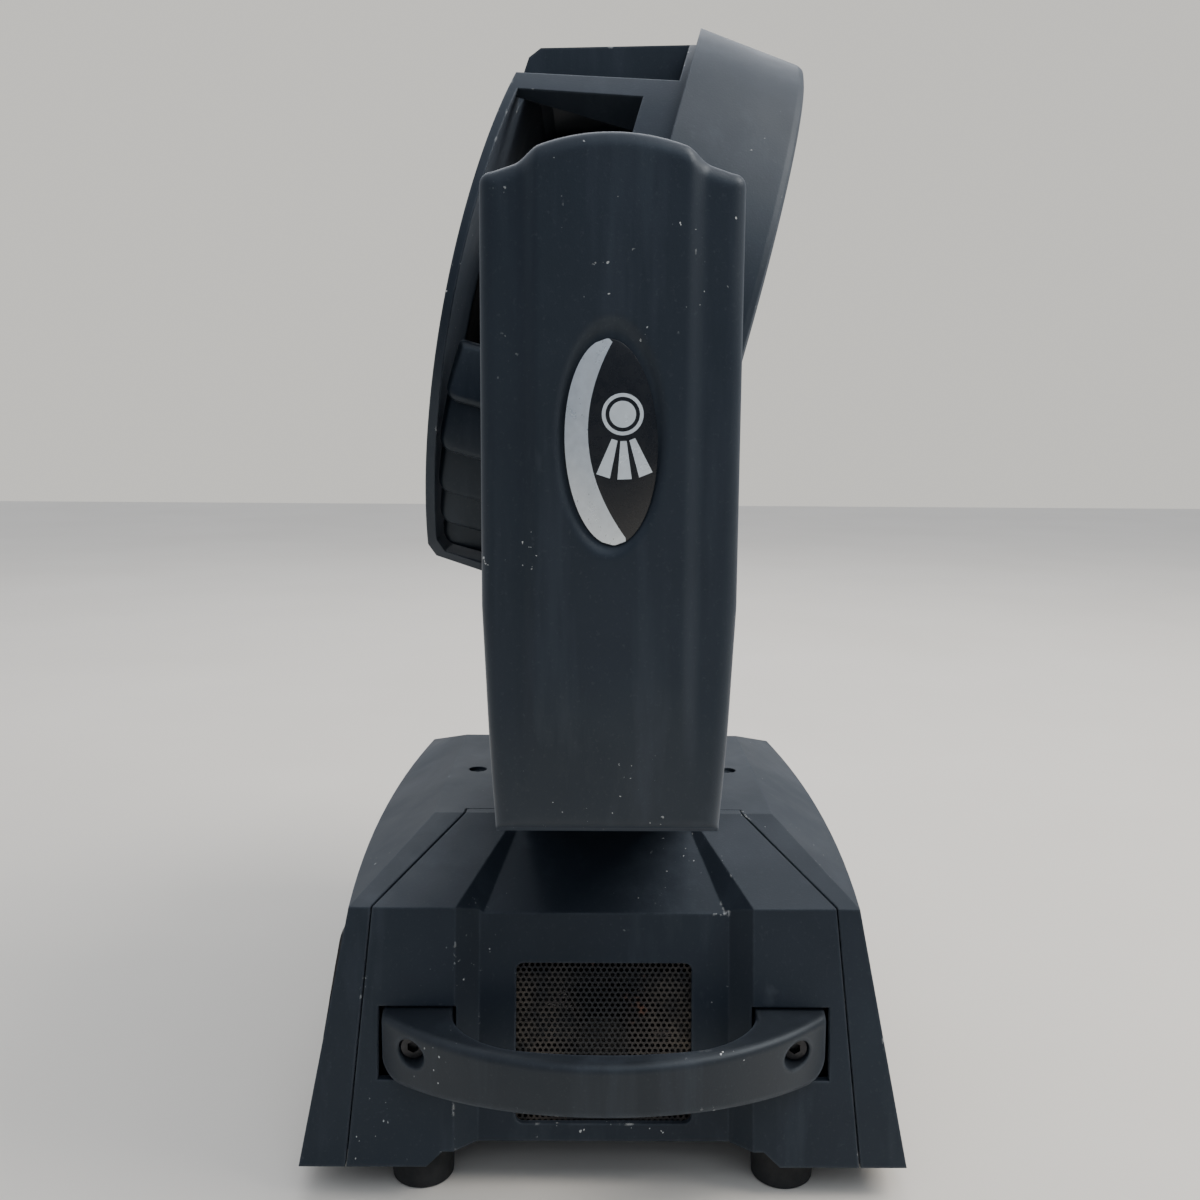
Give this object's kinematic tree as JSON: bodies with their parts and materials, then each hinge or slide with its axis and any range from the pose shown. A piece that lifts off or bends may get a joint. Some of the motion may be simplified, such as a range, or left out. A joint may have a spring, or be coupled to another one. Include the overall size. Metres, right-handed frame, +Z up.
{
  "type": "moving head light",
  "caption": "Stage light: a faceted base with side grab handles carries a panning two-arm yoke, and a round multi-lens head tilts between the arms.",
  "frame": {"origin": "on the floor, on the pan axis, at the centre of the base", "axes": "+Z up along the pan axis; X along the tilt axis, from arm to arm; the display side of the base and the beam at rest face -Y"},
  "size_m": [0.376, 0.24, 0.4517],
  "materials": {
    "housing": "fine satin moulded ABS",
    "handle": "satin moulded glass-filled nylon",
    "badge": "clear resin dome over a black and silver label",
    "grille": "black painted perforated steel, dusty",
    "chassis": "black powder coat",
    "foot_rubber": "moulded rubber",
    "steel": "zinc plated steel",
    "screw": "black oxide steel",
    "pulley": "turned aluminium",
    "belt": "toothed rubber belt",
    "motor": "black stepper motor",
    "board": "green printed circuit board",
    "supply": "aluminium case",
    "fan": "moulded black plastic",
    "display": "smoked glossy acrylic",
    "button": "moulded black plastic",
    "socket": "moulded black plastic with metal contacts",
    "lens": "clear polished acrylic",
    "lens_plate": "matte black plate",
    "led_board": "white solder mask on aluminium",
    "heatsink": "black anodised aluminium"
  },
  "bodies": {
    "base": {"chassis_tray": "chassis", "base_shell": "housing", "side_cover_left": "housing", "side_cover_right": "housing", "side_grille_left": "grille", "side_grille_right": "grille", "handle_left": "handle", "handle_right": "handle", "handle_screws": "screw", "rubber_feet": "foot_rubber", "pan_bridge": "steel", "pan_bearing": "steel", "pan_belt": "belt", "pan_motor": "motor", "base_fan_frame": "fan", "power_supply": "supply", "control_board": "board", "display_bezel": "display", "display_window": "display", "display_board": "board", "rear_panel": "chassis", "power_inlet": "socket", "fuse_holder": "socket", "dmx_in_socket": "socket", "dmx_out_socket": "socket"},
    "yoke": {"arm_outer_cover_left": "housing", "arm_outer_cover_right": "housing", "arm_inner_cover_left": "housing", "arm_inner_cover_right": "housing", "yoke_cover_top": "housing", "yoke_cover_bottom": "housing", "arm_badges": "badge", "yoke_frame": "steel", "pan_shaft": "steel", "pan_pulley": "pulley", "tilt_bearing_left": "steel", "tilt_bearing_right": "steel", "tilt_motor": "motor", "tilt_belt": "belt"},
    "head": {"head_ring": "housing", "lens_plate": "lens_plate", "lenses": "lens", "led_board": "led_board", "heatsink": "heatsink", "head_frame": "steel", "rear_shell": "housing", "side_louvres": "housing", "trunnion_left": "steel", "trunnion_right": "steel", "tilt_pulley": "pulley", "head_fan_frame": "fan"},
    "pan_pinion": {"pan_pinion": "pulley"},
    "tilt_pinion": {"tilt_pinion": "pulley"},
    "base_fan_rotor": {"base_fan_rotor": "fan"},
    "head_fan_rotor": {"head_fan_rotor": "fan"},
    "button_1": {"button_1": "button"},
    "button_2": {"button_2": "button"},
    "button_3": {"button_3": "button"},
    "button_4": {"button_4": "button"}
  },
  "joints": [
    {"name": "pan", "type": "hinge", "parent": "base", "child": "yoke", "pos_m": [0, 0, 0.1], "axis": [0, 0, 1], "range_deg": [-270, 270]},
    {"name": "tilt", "type": "hinge", "parent": "yoke", "child": "head", "pos_m": [0, 0, 0.318], "axis": [1, 0, 0], "range_deg": [-240.2, 29.8]},
    {"name": "pan_pinion_spin", "type": "hinge", "parent": "base", "child": "pan_pinion", "pos_m": [0.068, 0, 0.095], "axis": [0, 0, 1], "range_deg": [-1300, 1300]},
    {"name": "tilt_pinion_spin", "type": "hinge", "parent": "yoke", "child": "tilt_pinion", "pos_m": [0.152, 0, 0.223], "axis": [1, 0, 0], "range_deg": [-915, 115]},
    {"name": "base_fan_spin", "type": "hinge", "parent": "base", "child": "base_fan_rotor", "pos_m": [-0.1, 0, 0.048], "axis": [1, 0, 0], "continuous": true},
    {"name": "head_fan_spin", "type": "hinge", "parent": "head", "child": "head_fan_rotor", "pos_m": [0, 0, 0.318], "axis": [0, -0.965, -0.2622], "continuous": true},
    {"name": "button_1_press", "type": "slide", "parent": "base", "child": "button_1", "axis": [0, 0.9835, -0.1811], "range_m": [0, 0.001], "stiffness_N_per_m": 300},
    {"name": "button_2_press", "type": "slide", "parent": "base", "child": "button_2", "axis": [0, 0.9835, -0.1811], "range_m": [0, 0.001], "stiffness_N_per_m": 300},
    {"name": "button_3_press", "type": "slide", "parent": "base", "child": "button_3", "axis": [0, 0.9835, -0.1811], "range_m": [0, 0.001], "stiffness_N_per_m": 300},
    {"name": "button_4_press", "type": "slide", "parent": "base", "child": "button_4", "axis": [0, 0.9835, -0.1811], "range_m": [0, 0.001], "stiffness_N_per_m": 300}
  ],
  "couplings": [
    {"joint": "pan_pinion_spin", "follows": "pan", "ratio": 4.8},
    {"joint": "tilt_pinion_spin", "follows": "tilt", "ratio": 3.8}
  ]
}
